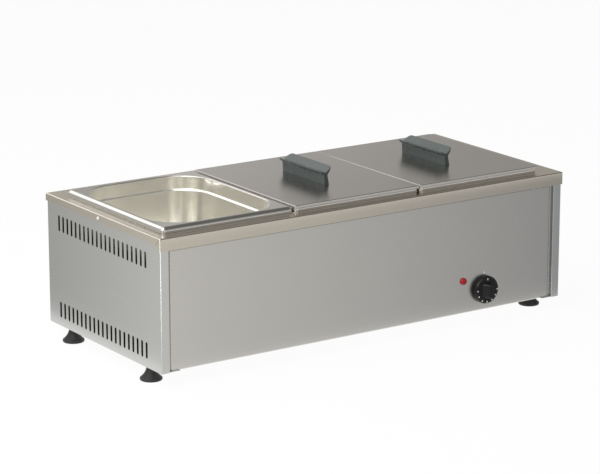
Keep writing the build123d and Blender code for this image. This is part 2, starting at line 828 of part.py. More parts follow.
with BuildPart() as terminal_block_screws:
    with BuildSketch(Plane.XY.offset(tray_bottom)):
        with Locations((gland_x, block_y)):
            with GridLocations(block_screw_spacing, 0, 2, 1):
                Circle(block_screw_radius)
    extrude(amount=panel_sheet + block_height)
    with BuildSketch(Plane.XY.offset(tray_floor + block_height)):
        with Locations((gland_x, block_y)):
            with GridLocations(block_screw_spacing, 0, 2, 1):
                Circle(block_screw_head)
    extrude(amount=block_screw_head_height)
terminal_block_screws.part.label = "terminal_block_screws"
export_step(terminal_block_screws.part, "parts/terminal_block_screws.step")

# Cable gland: hexagon outside the back panel, thread through it
with BuildPart() as cable_gland:
    with BuildSketch(facing(back_panel_face)):
        with Locations((gland_x, gland_z)):
            RegularPolygon(gland_hex / 2, 6, major_radius=False)
    extrude(amount=-gland_hex_height)
    with BuildSketch(facing(back_panel_face)):
        with Locations((gland_x, gland_z)):
            Circle(gland_thread_radius)
    extrude(amount=panel_sheet + gland_inside)
    with BuildSketch(facing(back_panel_face + gland_hex_height)):
        with Locations((gland_x, gland_z)):
            Circle(gland_bore_radius)
    extrude(amount=gland_hex_height + panel_sheet + gland_inside, mode=Mode.SUBTRACT)
cable_gland.part.label = "cable_gland"
export_step(cable_gland.part, "parts/cable_gland.step")

# Dome nut that would clamp the cord
gland_front = back_panel_face + gland_hex_height
with BuildPart() as gland_dome_nut:
    with BuildSketch(Plane.YZ.offset(gland_x)):
        with BuildLine():
            Polyline(
                (gland_front + dome_length, gland_z + dome_mouth_radius),
                (gland_front + dome_length, gland_z + gland_bore_radius),
                (gland_front, gland_z + gland_bore_radius),
                (gland_front, gland_z + dome_radius),
                (gland_front + dome_grip, gland_z + dome_radius),
            )
            TangentArc(
                (gland_front + dome_grip, gland_z + dome_radius),
                (gland_front + dome_length, gland_z + dome_mouth_radius),
                tangent=(1, 0),
            )
        make_face()
    revolve(axis=Axis((gland_x, 0, gland_z), (0, 1, 0)))
gland_dome_nut.part.label = "gland_dome_nut"
export_step(gland_dome_nut.part, "parts/gland_dome_nut.step")

with BuildPart() as gland_lock_nut:
    with BuildSketch(facing(back_flange_face)):
        with Locations((gland_x, gland_z)):
            RegularPolygon(gland_hex / 2, 6, major_radius=False)
            Circle(gland_thread_radius + running_clearance, mode=Mode.SUBTRACT)
    extrude(amount=gland_nut_height)
gland_lock_nut.part.label = "gland_lock_nut"
export_step(gland_lock_nut.part, "parts/gland_lock_nut.step")

# Feet: turned bells on threaded studs
foot_top = bottom - foot_clearance
with BuildPart() as foot_shape:
    with BuildSketch(Plane.XZ) as foot_section:
        with BuildLine():
            Polyline(
                (foot_neck_radius, foot_neck_height),
                (foot_neck_radius, foot_top),
                (stud_radius + running_clearance, foot_top),
                (stud_radius + running_clearance, foot_top - stud_in_foot),
                (0, foot_top - stud_in_foot),
                (0, 0),
                (foot_radius, 0),
                (foot_radius, foot_rim),
            )
            SagittaArc((foot_radius, foot_rim), (foot_neck_radius, foot_neck_height), foot_hollow)
        make_face()
        fillet(foot_section.vertices().group_by(Axis.X)[-1], foot_edge)
    revolve(axis=Axis.Z)
for place, (x, y) in foot_places.items():
    with BuildPart() as foot:
        with Locations((x, y, 0)):
            add(foot_shape.part)
    foot.part.label = f"{place}_foot"
    export_step(foot.part, f"parts/{place}_foot.step")
    with BuildPart() as foot_stud:
        with BuildSketch(Plane.XY.offset(foot_top - stud_in_foot)):
            with Locations((x, y)):
                Circle(stud_radius)
        extrude(amount=stud_in_foot + foot_clearance + stud_above)
    foot_stud.part.label = f"{place}_foot_stud"
    export_step(foot_stud.part, f"parts/{place}_foot_stud.step")

# Nuts welded on the base plate, which the studs turn in
with BuildPart() as foot_nuts:
    with BuildSketch(Plane.XY.offset(tray_floor)):
        with Locations(*foot_places.values()):
            RegularPolygon(foot_nut_width / 2, 6, major_radius=False)
            Circle(stud_radius + running_clearance, mode=Mode.SUBTRACT)
    extrude(amount=foot_nut_height)
foot_nuts.part.label = "foot_nuts"
export_step(foot_nuts.part, "parts/foot_nuts.step")


def drawn_form(skin):
    # Form of a pan below the rim plane, its skin inwards of the outside wall
    with BuildPart() as form:
        with BuildSketch():
            RectangleRounded(
                pan_wall_length - 2 * skin,
                pan_wall_width - 2 * skin,
                pan_corner + pan_sheet - skin,
            )
        extrude(amount=-(pan_collar - skin))
        with BuildSketch(Plane.XY.offset(skin - pan_collar)):
            RectangleRounded(
                pan_wall_length - 2 * (skin + pan_ledge),
                pan_wall_width - 2 * (skin + pan_ledge),
                pan_corner + pan_sheet - skin - pan_ledge,
            )
        extrude(amount=pan_collar - pan_depth, taper=pan_draft)
        levels = form.faces().filter_by(Axis.Z).sort_by(Axis.Z)
        fillet(levels[0].edges(), pan_floor_radius - skin)
        ledge = form.faces().filter_by(Axis.Z).sort_by(Axis.Z)[1]
        fillet(ledge.inner_wires()[0].edges(), pan_ledge_radius + skin)
        ledge = form.faces().filter_by(Axis.Z).sort_by(Axis.Z)[1]
        fillet(ledge.outer_wire().edges(), pan_ledge_radius + pan_sheet - skin)
    return form.part


def rim_form(skin):
    # Form of a pan's rim, its skin inwards of the outside: flat on top and bent down all round
    with BuildPart() as form:
        with BuildSketch(Plane.XY.offset(-pan_rim_height)):
            RectangleRounded(pan_length - 2 * skin, pan_width - 2 * skin, pan_rim_corner - skin)
        extrude(amount=pan_rim_height - skin)
        fillet(form.faces().sort_by(Axis.Z)[-1].edges(), pan_rim_bend - skin)
    return form.part


# Pan: a drawn shell with a shoulder, and a flat rim bent down over the deck
with BuildPart() as pan_shape:
    add(rim_form(0))
    add(rim_form(pan_sheet), mode=Mode.SUBTRACT)
    add(drawn_form(0))
    under_rim = pan_shape.faces().filter_by(Axis.Z).sort_by(Axis.Z)[-2]
    fillet(under_rim.inner_wires()[0].edges(), pan_mouth_radius - pan_sheet)
    add(drawn_form(pan_sheet), mode=Mode.SUBTRACT)
    rim_face = pan_shape.faces().filter_by(Axis.Z).sort_by(Axis.Z)[-1]
    fillet(rim_face.inner_wires()[0].edges(), pan_mouth_radius)
for name, x in zip(pan_names, pan_x):
    with BuildPart() as pan:
        with Locations((x, row_y, rim_top)):
            add(pan_shape.part)
    pan.part.label = f"{name}_pan"
    export_step(pan.part, f"parts/{name}_pan.step")

# Lid: a flat sheet lying on the pan's rim, with its edge turned down round it
lid_overhang = lid_sheet + lid_clearance
lid_top = rim_top + rest_gap + lid_sheet
with BuildPart() as lid_shape:
    with BuildSketch():
        RectangleRounded(pan_length + 2 * lid_overhang, pan_width + 2 * lid_overhang, lid_corner)
    extrude(amount=-lid_skirt)
    fillet(lid_shape.faces().sort_by(Axis.Z)[-1].edges(), lid_bend)
    offset(amount=-lid_sheet, openings=lid_shape.faces().sort_by(Axis.Z)[0])
    with BuildSketch():
        with GridLocations(0, handle_screw_spacing, 1, 2):
            Circle(handle_screw_radius + hole_clearance)
    extrude(amount=-lid_sheet, mode=Mode.SUBTRACT)

# Handle: a moulding of Y section that leans to the left, with rounded wing corners, hollowed for its screws
wing_left = -handle_lean - handle_width / 2
wing_right = -handle_lean + handle_width / 2
neck_left = -handle_lean - handle_neck / 2
neck_right = -handle_lean + handle_neck / 2
left_wing_height = handle_height - handle_left_drop
with BuildPart() as handle_shape:
    with BuildSketch(Plane.XZ) as handle_section:
        with BuildLine():
            Polyline(
                (-handle_base / 2, 0),
                (handle_base / 2, 0),
                (neck_right, handle_neck_height),
                (wing_right, handle_height - handle_wing),
                (wing_right, handle_height),
                (-handle_lean, handle_valley),
                (wing_left, left_wing_height),
                (wing_left, left_wing_height - handle_wing),
                (neck_left, handle_neck_height),
                close=True,
            )
        make_face()
        heights = handle_section.vertices().group_by(Axis.Y)
        fillet(heights[1], handle_wing_radius)
    extrude(amount=handle_length / 2, both=True)
    with BuildSketch():
        with Locations((-handle_lean, 0)):
            RectangleRounded(handle_width, handle_length, handle_corner)
    extrude(amount=handle_height, mode=Mode.INTERSECT)
    fillet(handle_shape.faces().sort_by(Axis.X)[0].edges(), handle_edge)
    fillet(handle_shape.faces().sort_by(Axis.X)[-1].edges(), handle_edge)
    with BuildSketch():
        with GridLocations(0, handle_screw_spacing, 1, 2):
            Circle(handle_screw_radius + running_clearance)
    extrude(amount=handle_screw_depth, mode=Mode.SUBTRACT)

# Screws from under the lid into the handle
with BuildPart() as handle_screw_pair:
    with BuildSketch(Plane.XY.offset(-lid_sheet)):
        with GridLocations(0, handle_screw_spacing, 1, 2):
            Circle(handle_screw_radius)
    extrude(amount=lid_sheet + handle_screw_depth - hole_clearance)
    with BuildSketch(Plane.XY.offset(-lid_sheet)):
        with GridLocations(0, handle_screw_spacing, 1, 2):
            Circle(handle_screw_head)
    extrude(amount=-handle_screw_head_height)
    fillet(handle_screw_pair.faces().group_by(Axis.Z)[0].edges(), handle_screw_head_round)

for name in lid_names:
    x = pan_x[pan_names.index(name)]
    with BuildPart() as lid:
        with Locations((x, row_y, lid_top)):
            add(lid_shape.part)
    lid.part.label = f"{name}_lid"
    export_step(lid.part, f"parts/{name}_lid.step")
    with BuildPart() as lid_handle:
        with Locations((x, row_y, lid_top)):
            add(handle_shape.part)
    lid_handle.part.label = f"{name}_lid_handle"
    export_step(lid_handle.part, f"parts/{name}_lid_handle.step")
    with BuildPart() as lid_handle_screws:
        with Locations((x, row_y, lid_top)):
            add(handle_screw_pair.part)
    lid_handle_screws.part.label = f"{name}_lid_handle_screws"
    export_step(lid_handle_screws.part, f"parts/{name}_lid_handle_screws.step")
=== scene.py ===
import math

import bmesh
import bpy
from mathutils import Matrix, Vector


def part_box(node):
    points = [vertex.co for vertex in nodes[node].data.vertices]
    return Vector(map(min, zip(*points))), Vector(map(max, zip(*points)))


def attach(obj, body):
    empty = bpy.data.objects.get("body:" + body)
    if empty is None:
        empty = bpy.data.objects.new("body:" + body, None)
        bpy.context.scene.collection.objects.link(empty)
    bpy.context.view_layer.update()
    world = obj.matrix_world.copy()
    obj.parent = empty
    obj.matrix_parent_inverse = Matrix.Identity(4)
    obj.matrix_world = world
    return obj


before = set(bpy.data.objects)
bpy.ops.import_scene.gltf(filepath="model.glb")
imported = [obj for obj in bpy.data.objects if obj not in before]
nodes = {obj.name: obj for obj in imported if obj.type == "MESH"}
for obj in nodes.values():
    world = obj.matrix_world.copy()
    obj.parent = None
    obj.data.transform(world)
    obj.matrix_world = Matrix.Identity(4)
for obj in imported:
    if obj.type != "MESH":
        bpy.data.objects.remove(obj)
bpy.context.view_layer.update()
mm = 0.001
print("frame loaded:", len(nodes), "nodes")


def hexColor(code):
    channels = [int(code[i:i + 2], 16) / 255 for i in (0, 2, 4)]
    return [c / 12.92 if c <= 0.04045 else ((c + 0.055) / 1.055) ** 2.4 for c in channels] + [1.0]


def addNode(tree, kind, inputs=None, **settings):
    node = tree.nodes.new(kind)
    for name, value in settings.items():
        setattr(node, name, value)
    for socket, value in (inputs or {}).items():
        if isinstance(value, bpy.types.NodeSocket):
            tree.links.new(value, node.inputs[socket])
        else:
            node.inputs[socket].default_value = value
    return node


def startMaterial(name, color, metallic, roughness, ior=None):
    material = bpy.data.materials.new(name)
    material.use_nodes = True
    shader = material.node_tree.nodes["Principled BSDF"]
    shader.inputs["Base Color"].default_value = hexColor(color)
    shader.inputs["Metallic"].default_value = metallic
    shader.inputs["Roughness"].default_value = roughness
    if ior:
        shader.inputs["IOR"].default_value = ior
    return material, material.node_tree, shader


# Stainless sheet, ground with a belt: a grey sheen drawn out along the grain, with faint wiping marks
satinSheet = {
    "steel": "D1CEC9",
    "steelPale": "D3D0CB",
    "metallic": 1.0,
    "roughness": 0.27,
    "roughnessSpread": 0.015,
    "noiseLow": 0.6,  # the range that grain and smears together mostly stay in
    "noiseHigh": 1.4,
    "grainWidth": 1.6 * mm,  # the real grit lines are about 0.1 mm, too fine to show, so these are coarser
    "grainLength": 130 * mm,
    "grainHeight": 0.0001 * mm,
    "smearSize": 90 * mm,
}


def satinStainless(name, grain, **changes):
    look = {**satinSheet, **changes}
    material, tree, shader = startMaterial(name, look["steel"], look["metallic"], look["roughness"])
    along = 1 / look["grainLength"]
    across = 1 / look["grainWidth"]
    scale = [along if axis == grain else across for axis in "XYZ"]
    place = addNode(tree, "ShaderNodeTexCoord")
    stretch = addNode(tree, "ShaderNodeMapping", {"Vector": place.outputs["Object"], "Scale": scale})
    lines = addNode(tree, "ShaderNodeTexNoise", {"Vector": stretch.outputs[0], "Scale": 1.0, "Detail": 3.0})
    smear = addNode(tree, "ShaderNodeTexNoise",
                    {"Vector": place.outputs["Object"], "Scale": 1 / look["smearSize"], "Detail": 2.0})
    both = addNode(tree, "ShaderNodeMath",
                   {0: lines.outputs["Fac"], 1: smear.outputs["Fac"]}, operation="ADD")
    tint = addNode(tree, "ShaderNodeMix",
                   {"Factor": lines.outputs["Fac"], "A": hexColor(look["steel"]),
                    "B": hexColor(look["steelPale"])}, data_type="RGBA")
    half = look["roughnessSpread"] / 2
    rough = addNode(tree, "ShaderNodeMapRange",
                    {"Value": both.outputs[0], "From Min": look["noiseLow"], "From Max": look["noiseHigh"],
                     "To Min": look["roughness"] - half, "To Max": look["roughness"] + half})
    bump = addNode(tree, "ShaderNodeBump", {"Height": lines.outputs["Fac"], "Distance": look["grainHeight"]})
    tree.links.new(tint.outputs["Result"], shader.inputs["Base Color"])
    tree.links.new(rough.outputs[0], shader.inputs["Roughness"])
    tree.links.new(bump.outputs[0], shader.inputs["Normal"])
    return material


# Drawn stainless, polished after pressing: bright, slightly warm, with long soft reflections
drawnPan = {
    "steel": "D2D0CC",
    "steelPale": "D4D2CE",
    "roughness": 0.2,
    "roughnessSpread": 0.04,
    "grainWidth": 2.5 * mm,
    "grainLength": 60 * mm,
    "smearSize": 60 * mm,
}
panInsidePaintedLight = {
    # painted light: the pale colour and the lower metallic below stand in for light bounced between the pan's
    # walls
    "bright": "F9F7F0",
    "metallic": 0.88,
    "rim": 11.5 * mm,  # width that stays plain steel
    "rimBlend": 1 * mm,  # the painted bounce light fades out over these, at the rim, at the top and on outer faces
    "topBlend": 2 * mm,
    "inwardBlend": 2 * mm,
}


def drawnStainless(name, node):
    # The rim and the outside are plain steel; inside, the steel is painted paler and less metallic: painted
    # light that stands in for light bouncing from wall to wall
    material = satinStainless(name, "Z", **drawnPan)
    tree = material.node_tree
    shader = tree.nodes["Principled BSDF"]
    low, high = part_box(node)
    middle = (low + high) / 2
    half = (high - low) / 2
    place = addNode(tree, "ShaderNodeTexCoord")
    way = addNode(tree, "ShaderNodeSeparateXYZ", {0: place.outputs["Object"]})
    reach = []
    for axis in range(2):
        edge = half[axis] - panInsidePaintedLight["rim"]
        away = addNode(tree, "ShaderNodeMath", {0: way.outputs[axis], 1: middle[axis]}, operation="SUBTRACT")
        span = addNode(tree, "ShaderNodeMath", {0: away.outputs[0]}, operation="ABSOLUTE")
        past = addNode(tree, "ShaderNodeMath", {0: span.outputs[0], 1: edge}, operation="SUBTRACT")
        reach.append(past.outputs[0])
    outside = addNode(tree, "ShaderNodeMath", {0: reach[0], 1: reach[1]}, operation="MAXIMUM")
    inside = addNode(tree, "ShaderNodeMapRange",
                     {"Value": outside.outputs[0], "From Min": 0.0, "From Max": panInsidePaintedLight["rimBlend"],
                      "To Min": 1.0, "To Max": 0.0})
    below = addNode(tree, "ShaderNodeMapRange",
                    {"Value": way.outputs["Z"], "From Min": high.z - panInsidePaintedLight["topBlend"],
                     "From Max": high.z, "To Min": 1.0, "To Max": 0.0})
    mouth = (middle.x, middle.y, high.z)
    toMouth = addNode(tree, "ShaderNodeVectorMath",
                      {0: place.outputs["Object"], 1: mouth}, operation="SUBTRACT")
    facing = addNode(tree, "ShaderNodeVectorMath",
                     {0: toMouth.outputs[0], 1: place.outputs["Normal"]}, operation="DOT_PRODUCT")
    inward = addNode(tree, "ShaderNodeMapRange",
                     {"Value": facing.outputs["Value"], "From Min": 0.0,
                      "From Max": -panInsidePaintedLight["inwardBlend"]})
    within = addNode(tree, "ShaderNodeMath",
                     {0: inside.outputs[0], 1: below.outputs[0]}, operation="MULTIPLY")
    share = addNode(tree, "ShaderNodeMath",
                    {0: within.outputs[0], 1: inward.outputs[0]}, operation="MULTIPLY")
    steel = shader.inputs["Base Color"].links[0].from_socket
    # painted light: inward faces are mixed towards the pale colour and made less metallic
    tint = addNode(tree, "ShaderNodeMix",
                   {"Factor": share.outputs[0], "A": steel, "B": hexColor(panInsidePaintedLight["bright"])},
                   data_type="RGBA")
    metal = addNode(tree, "ShaderNodeMapRange",
                    {"Value": share.outputs[0], "To Min": satinSheet["metallic"],
                     "To Max": panInsidePaintedLight["metallic"]})
    tree.links.new(tint.outputs["Result"], shader.inputs["Base Color"])
    tree.links.new(metal.outputs[0], shader.inputs["Metallic"])
    return material


# Moulded phenolic, ABS and nylon: dark and satin, with a fine orange-peel skin and slightly worn patches
mouldedSkin = {
    "ior": 1.5,
    "grainSize": 0.8 * mm,
    "grainHeight": 0.006 * mm,
    "wearSize": 14 * mm,
    "wear": 0.06,
    "noiseLow": 0.3,  # the range that the wear's noise mostly stays in
    "noiseHigh": 0.7,
}


def mouldedPlastic(name, color, colorPale, roughness, gloss=0.5):
    material, tree, shader = startMaterial(name, color, 0.0, roughness, ior=mouldedSkin["ior"])
    shader.inputs["Specular IOR Level"].default_value = gloss
    place = addNode(tree, "ShaderNodeTexCoord")
    skin = addNode(tree, "ShaderNodeTexNoise",
                   {"Vector": place.outputs["Object"], "Scale": 1 / mouldedSkin["grainSize"], "Detail": 1.0})
    wear = addNode(tree, "ShaderNodeTexNoise",
                   {"Vector": place.outputs["Object"], "Scale": 1 / mouldedSkin["wearSize"], "Detail": 3.0})
    tint = addNode(tree, "ShaderNodeMix",
                   {"Factor": wear.outputs["Fac"], "A": hexColor(color), "B": hexColor(colorPale)},
                   data_type="RGBA")
    rough = addNode(tree, "ShaderNodeMapRange",
                    {"Value": wear.outputs["Fac"], "From Min": mouldedSkin["noiseLow"],
                     "From Max": mouldedSkin["noiseHigh"], "To Min": roughness - mouldedSkin["wear"],
                     "To Max": roughness + mouldedSkin["wear"]})
    bump = addNode(tree, "ShaderNodeBump",
                   {"Height": skin.outputs["Fac"], "Distance": mouldedSkin["grainHeight"]})
    tree.links.new(tint.outputs["Result"], shader.inputs["Base Color"])
    tree.links.new(rough.outputs[0], shader.inputs["Roughness"])
    tree.links.new(bump.outputs[0], shader.inputs["Normal"])
    return material


# Polycarbonate lens, moulded clear red over a lamp that is off: deep colour with a hard small highlight, and
# painted shade: a darker red towards the rim, where the dome turns edge-on
lampLens = {"red": "B0141A", "edge": "6A080C", "edgeBlend": 0.35, "roughness": 0.15, "ior": 1.45}


def redLens(name):
    look = lampLens
    material, tree, shader = startMaterial(name, look["red"], 0.0, look["roughness"], ior=look["ior"])
    # painted shade: the red darkens to the edge colour as the surface turns edge-on
    rim = addNode(tree, "ShaderNodeLayerWeight", {"Blend": look["edgeBlend"]})
    tint = addNode(tree, "ShaderNodeMix",
                   {"Factor": rim.outputs["Facing"], "A": hexColor(look["red"]), "B": hexColor(look["edge"])},
                   data_type="RGBA")
    tree.links.new(tint.outputs["Result"], shader.inputs["Base Color"])
    return material


# Printing ink: flat white with a little tooth
printInk = {"white": "E6E6E2", "roughness": 0.55, "ior": 1.5, "toothSize": 0.4 * mm, "toothHeight": 0.01 * mm}


def whiteInk(name):
    look = printInk
    material, tree, shader = startMaterial(name, look["white"], 0.0, look["roughness"], ior=look["ior"])
    place = addNode(tree, "ShaderNodeTexCoord")
    tooth = addNode(tree, "ShaderNodeTexNoise",
                    {"Vector": place.outputs["Object"], "Scale": 1 / look["toothSize"]})
    bump = addNode(tree, "ShaderNodeBump", {"Height": tooth.outputs["Fac"], "Distance": look["toothHeight"]})
    tree.links.new(bump.outputs[0], shader.inputs["Normal"])
    return material


# Small plated, turned, drawn or pressed parts: one colour with soft paler patches of the given size
def speckled(name, color, colorPale, metallic, roughness, patchSize):
    material, tree, shader = startMaterial(name, color, metallic, roughness)
    place = addNode(tree, "ShaderNodeTexCoord")
    patch = addNode(tree, "ShaderNodeTexNoise",
                    {"Vector": place.outputs["Object"], "Scale": 1 / patchSize, "Detail": 4.0})
    tint = addNode(tree, "ShaderNodeMix",
                   {"Factor": patch.outputs["Fac"], "A": hexColor(color), "B": hexColor(colorPale)},
                   data_type="RGBA")
    tree.links.new(tint.outputs["Result"], shader.inputs["Base Color"])
    return material


finishes = {
    "sheetAlongX": satinStainless("satin_stainless_along_x", "X"),
    "sheetAlongY": satinStainless("satin_stainless_along_y", "Y", steel="D0D0CE", steelPale="D2D2D0"),
    "deckSheet": satinStainless("satin_stainless_deck", "X", steel="D3CBBE", steelPale="D5CDC0"),  # warmer
    "lidSheet": satinStainless("satin_stainless_lid", "X", steel="C2BEBA", steelPale="C4C0BC",
                               roughness=0.26),  # darker and a little sharper
    "leftPan": drawnStainless("drawn_stainless_left_pan", "left_pan"),
    "middlePan": drawnStainless("drawn_stainless_middle_pan", "middle_pan"),
    "rightPan": drawnStainless("drawn_stainless_right_pan", "right_pan"),
    "tank": satinStainless("mill_stainless_tank", "X", steel="A8A7A4", roughness=0.33),  # as rolled, duller
    "knob": mouldedPlastic("phenolic_black_knob", "131313", "1A1A1A", 0.38, gloss=0.3),
    "handle": mouldedPlastic("phenolic_grey_green_handle", "3E4746", "454E4D", 0.28),
    "foot": mouldedPlastic("abs_black_foot", "1C1D1D", "262828", 0.42),
    "nylon": mouldedPlastic("nylon_black_gland", "1B1B1B", "232323", 0.5),
    "lens": redLens("polycarbonate_red_lens"),
    "ink": whiteInk("ink_white"),
    "rivet": speckled("aluminium_rivet_painted_glint", "ECECEA", "F2F2F0", 0.4, 0.4, 1.5 * mm),  # a near-white dot: the aluminium's pale colour, and, through the low metallic, a painted glint that shows under any light
    "zinc": speckled("zinc_plated_steel", "A5A6A6", "BCBCBA", 1.0, 0.28, 1.5 * mm),  # cool grey shine
    "sheath": speckled("nickel_alloy_sheath", "5A5650", "716A60", 1.0, 0.42, 6 * mm),  # browned by heat
    "brass": speckled("turned_brass", "B8944C", "C8A860", 1.0, 0.3, 3 * mm),  # warm yellow shine
    "copper": speckled("drawn_copper", "B4714C", "C58663", 1.0, 0.32, 3 * mm),  # red-brown shine
    "silicone": speckled("silicone_red_seal", "8A3226", "9A4032", 0.0, 0.6, 2 * mm),  # matt brick red
    "phenolic": speckled("phenolic_ivory_block", "CFC8B4", "DAD4C2", 0.0, 0.5, 2 * mm),  # matt ivory
}
corners = ["front_left", "front_right", "back_left", "back_right"]
nodeFinish = {
    "deckSheet": ["top_panel"],
    "sheetAlongX": ["front_panel", "back_panel", "base_plate"],
    "sheetAlongY": ["left_side_panel", "right_side_panel"],
    "lidSheet": ["middle_lid", "right_lid"],
    "leftPan": ["left_pan"],
    "middlePan": ["middle_pan"],
    "rightPan": ["right_pan"],
    "tank": ["water_tank", "element_rests", "bulb_clip"],
    "knob": ["control_knob"],
    "handle": ["middle_lid_handle", "right_lid_handle"],
    "foot": [corner + "_foot" for corner in corners],
    "nylon": ["cable_gland", "gland_dome_nut", "gland_lock_nut", "pilot_lamp_body"],
    "lens": ["pilot_lamp_lens"],
    "rivet": ["apron_rivets"],
    "zinc": ["back_panel_screws", "base_plate_screws", "thermostat_screws", "terminal_block_screws",
             "middle_lid_handle_screws", "right_lid_handle_screws", "foot_nuts", "thermostat_spindle",
             "pilot_lamp_clip", "element_terminals", *[corner + "_foot_stud" for corner in corners]],
    "sheath": ["heating_element"],
    "brass": ["element_bushings", "element_nuts"],
    "copper": ["thermostat_bulb", "capillary_tube"],
    "silicone": ["element_seals"],
    "phenolic": ["thermostat_body", "terminal_block"],
}
for finish, names in nodeFinish.items():
    for name in names:
        nodes[name].data.materials.clear()
        nodes[name].data.materials.append(finishes[finish])
print("finishes set on", sum(len(names) for names in nodeFinish.values()), "nodes")


# Geometry Nodes: a tree with named inputs, run once and kept as a plain mesh
def startTree(name, inputs):
    tree = bpy.data.node_groups.new(name, "GeometryNodeTree")
    tree.interface.new_socket("Geometry", in_out="OUTPUT", socket_type="NodeSocketGeometry")
    values = {}
    for label, (kind, value) in inputs.items():
        socket = tree.interface.new_socket(label, in_out="INPUT", socket_type="NodeSocket" + kind)
        values[socket.identifier] = value
    return tree, addNode(tree, "NodeGroupInput"), values


def runTree(tree, values, instances, material, name, body):
    real = addNode(tree, "GeometryNodeRealizeInstances", {"Geometry": instances})
    coat = addNode(tree, "GeometryNodeSetMaterial", {"Geometry": real.outputs[0], "Material": material})
    addNode(tree, "NodeGroupOutput", {"Geometry": coat.outputs[0]})
    maker = bpy.data.objects.new(name + "Maker", bpy.data.meshes.new(name + "Maker"))
    bpy.context.scene.collection.objects.link(maker)
    modifier = maker.modifiers.new("make", "NODES")
    modifier.node_group = tree
    for identifier, value in values.items():
        modifier[identifier] = value
    made = bpy.data.meshes.new_from_object(maker.evaluated_get(bpy.context.evaluated_depsgraph_get()))
    bpy.data.objects.remove(maker)
    piece = bpy.data.objects.new(name, made)
    bpy.context.scene.collection.objects.link(piece)
    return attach(piece, body)


# White dots printed round the knob's face, clockwise from the right
knobLow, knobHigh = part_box("control_knob")
knobCentre = (knobLow + knobHigh) / 2
knobDots = {
    "count": 7,
    "ring": 21.7 * mm,
    "radius": 1.5 * mm,
    "sides": 20,
    "first": math.radians(92),
    "step": math.radians(30),
    "proud": 0.05 * mm,  # lift off the face
    "skirt": 10.0 * mm,  # from the knob's back to the face that carries the print
}
knobFace = knobHigh.y - knobDots["skirt"] - knobDots["proud"]


def makeKnobDots():
    tree, given, values = startTree("knobDots", {
        "Count": ("Int", knobDots["count"]),
        "Centre": ("Vector", (knobCentre.x, knobFace, knobCentre.z)),
        "Ring": ("Float", knobDots["ring"]),
        "Dot Radius": ("Float", knobDots["radius"]),
        "Dot Sides": ("Int", knobDots["sides"]),
        "First": ("Float", knobDots["first"]),
        "Step": ("Float", knobDots["step"]),
    })
    points = addNode(tree, "GeometryNodePoints", {"Count": given.outputs["Count"]})
    index = addNode(tree, "GeometryNodeInputIndex")
    turn = addNode(tree, "ShaderNodeMath",
                   {0: index.outputs[0], 1: given.outputs["Step"], 2: given.outputs["First"]},
                   operation="MULTIPLY_ADD")
    sine = addNode(tree, "ShaderNodeMath", {0: turn.outputs[0]}, operation="SINE")
    cosine = addNode(tree, "ShaderNodeMath", {0: turn.outputs[0]}, operation="COSINE")
    way = addNode(tree, "ShaderNodeCombineXYZ", {"X": sine.outputs[0], "Z": cosine.outputs[0]})
    spot = addNode(tree, "ShaderNodeVectorMath",
                   {0: way.outputs[0], 1: given.outputs["Ring"], 2: given.outputs["Centre"]},
                   operation="MULTIPLY_ADD")
    placed = addNode(tree, "GeometryNodeSetPosition",
                     {"Geometry": points.outputs[0], "Position": spot.outputs[0]})
    dot = addNode(tree, "GeometryNodeMeshCircle",
                  {"Vertices": given.outputs["Dot Sides"], "Radius": given.outputs["Dot Radius"]},
                  fill_type="NGON")
    dots = addNode(tree, "GeometryNodeInstanceOnPoints",
                   {"Points": placed.outputs[0], "Instance": dot.outputs[0], "Rotation": (math.pi / 2, 0, 0)})
    return runTree(tree, values, dots.outputs[0], finishes["ink"], "knob_dots", "knob")


def meshFrom(shape, name, material):
    mesh = bpy.data.meshes.new(name)
    shape.to_mesh(mesh)
    shape.free()
    mesh.materials.append(material)
    return mesh


def addPiece(name, shape, material, body):
    bmesh.ops.recalc_face_normals(shape, faces=shape.faces)
    piece = bpy.data.objects.new(name, meshFrom(shape, name, material))
    bpy.context.scene.collection.objects.link(piece)
    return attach(piece, body)


# White index line at the top of the knob's face, and the white mark above it on the panel
knobIndex = {"width": 2.0 * mm, "height": 3.6 * mm, "middle": 20.6 * mm}
panelMark = {"radius": 2.0 * mm, "above": 31.0 * mm, "sides": 24, "proud": 0.05 * mm}


def makeKnobIndex():
    shape = bmesh.new()
    middle = knobCentre.z + knobIndex["middle"]
    half = knobIndex["width"] / 2
    tall = knobIndex["height"] / 2
    outline = [(-half, -tall), (half, -tall), (half, tall), (-half, tall)]
    shape.faces.new([shape.verts.new((knobCentre.x + x, knobFace, middle + z)) for x, z in outline])
    return addPiece("knob_index", shape, finishes["ink"], "knob")


def makePanelMark():
    shape = bmesh.new()
    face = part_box("front_panel")[0].y - panelMark["proud"]
    middle = knobCentre.z + panelMark["above"]
    radius = panelMark["radius"]
    ring = [2 * math.pi * i / panelMark["sides"] for i in range(panelMark["sides"])]
    shape.faces.new([
        shape.verts.new((knobCentre.x + radius * math.sin(a), face, middle + radius * math.cos(a)))
        for a in ring
    ])
    return addPiece("panel_mark", shape, finishes["ink"], "casing")


makeKnobDots()
makeKnobIndex()
makePanelMark()
print("knob and panel marks made")


# Studio: a white paper floor, and a soft room: pale walls, light at the upper left, darker elsewhere above
studio = {
    "floorSize": 40.0,
    "floorColor": "F4F4F2",
    "floorGlow": 0.95,
    "roomLeft": "C1C1BF",
    "roomRight": "B1AFAC",
    "roomFront": "676765",
    "roomTop": "767671",
    "roomTopLeft": "DADAD8",
    "sideStart": -0.6,  # the left colours change to the right ones between these
    "sideFull": 0.6,
    "depthStart": -0.2,  # the front's values change to the back's between these
    "depthFull": 0.5,
    "frontStart": 0.35,  # heights where the dark begins and is full, in front
    "frontFull": 0.54,
    "topStart": 0.35,  # and at the back
    "topFull": 0.7,
}


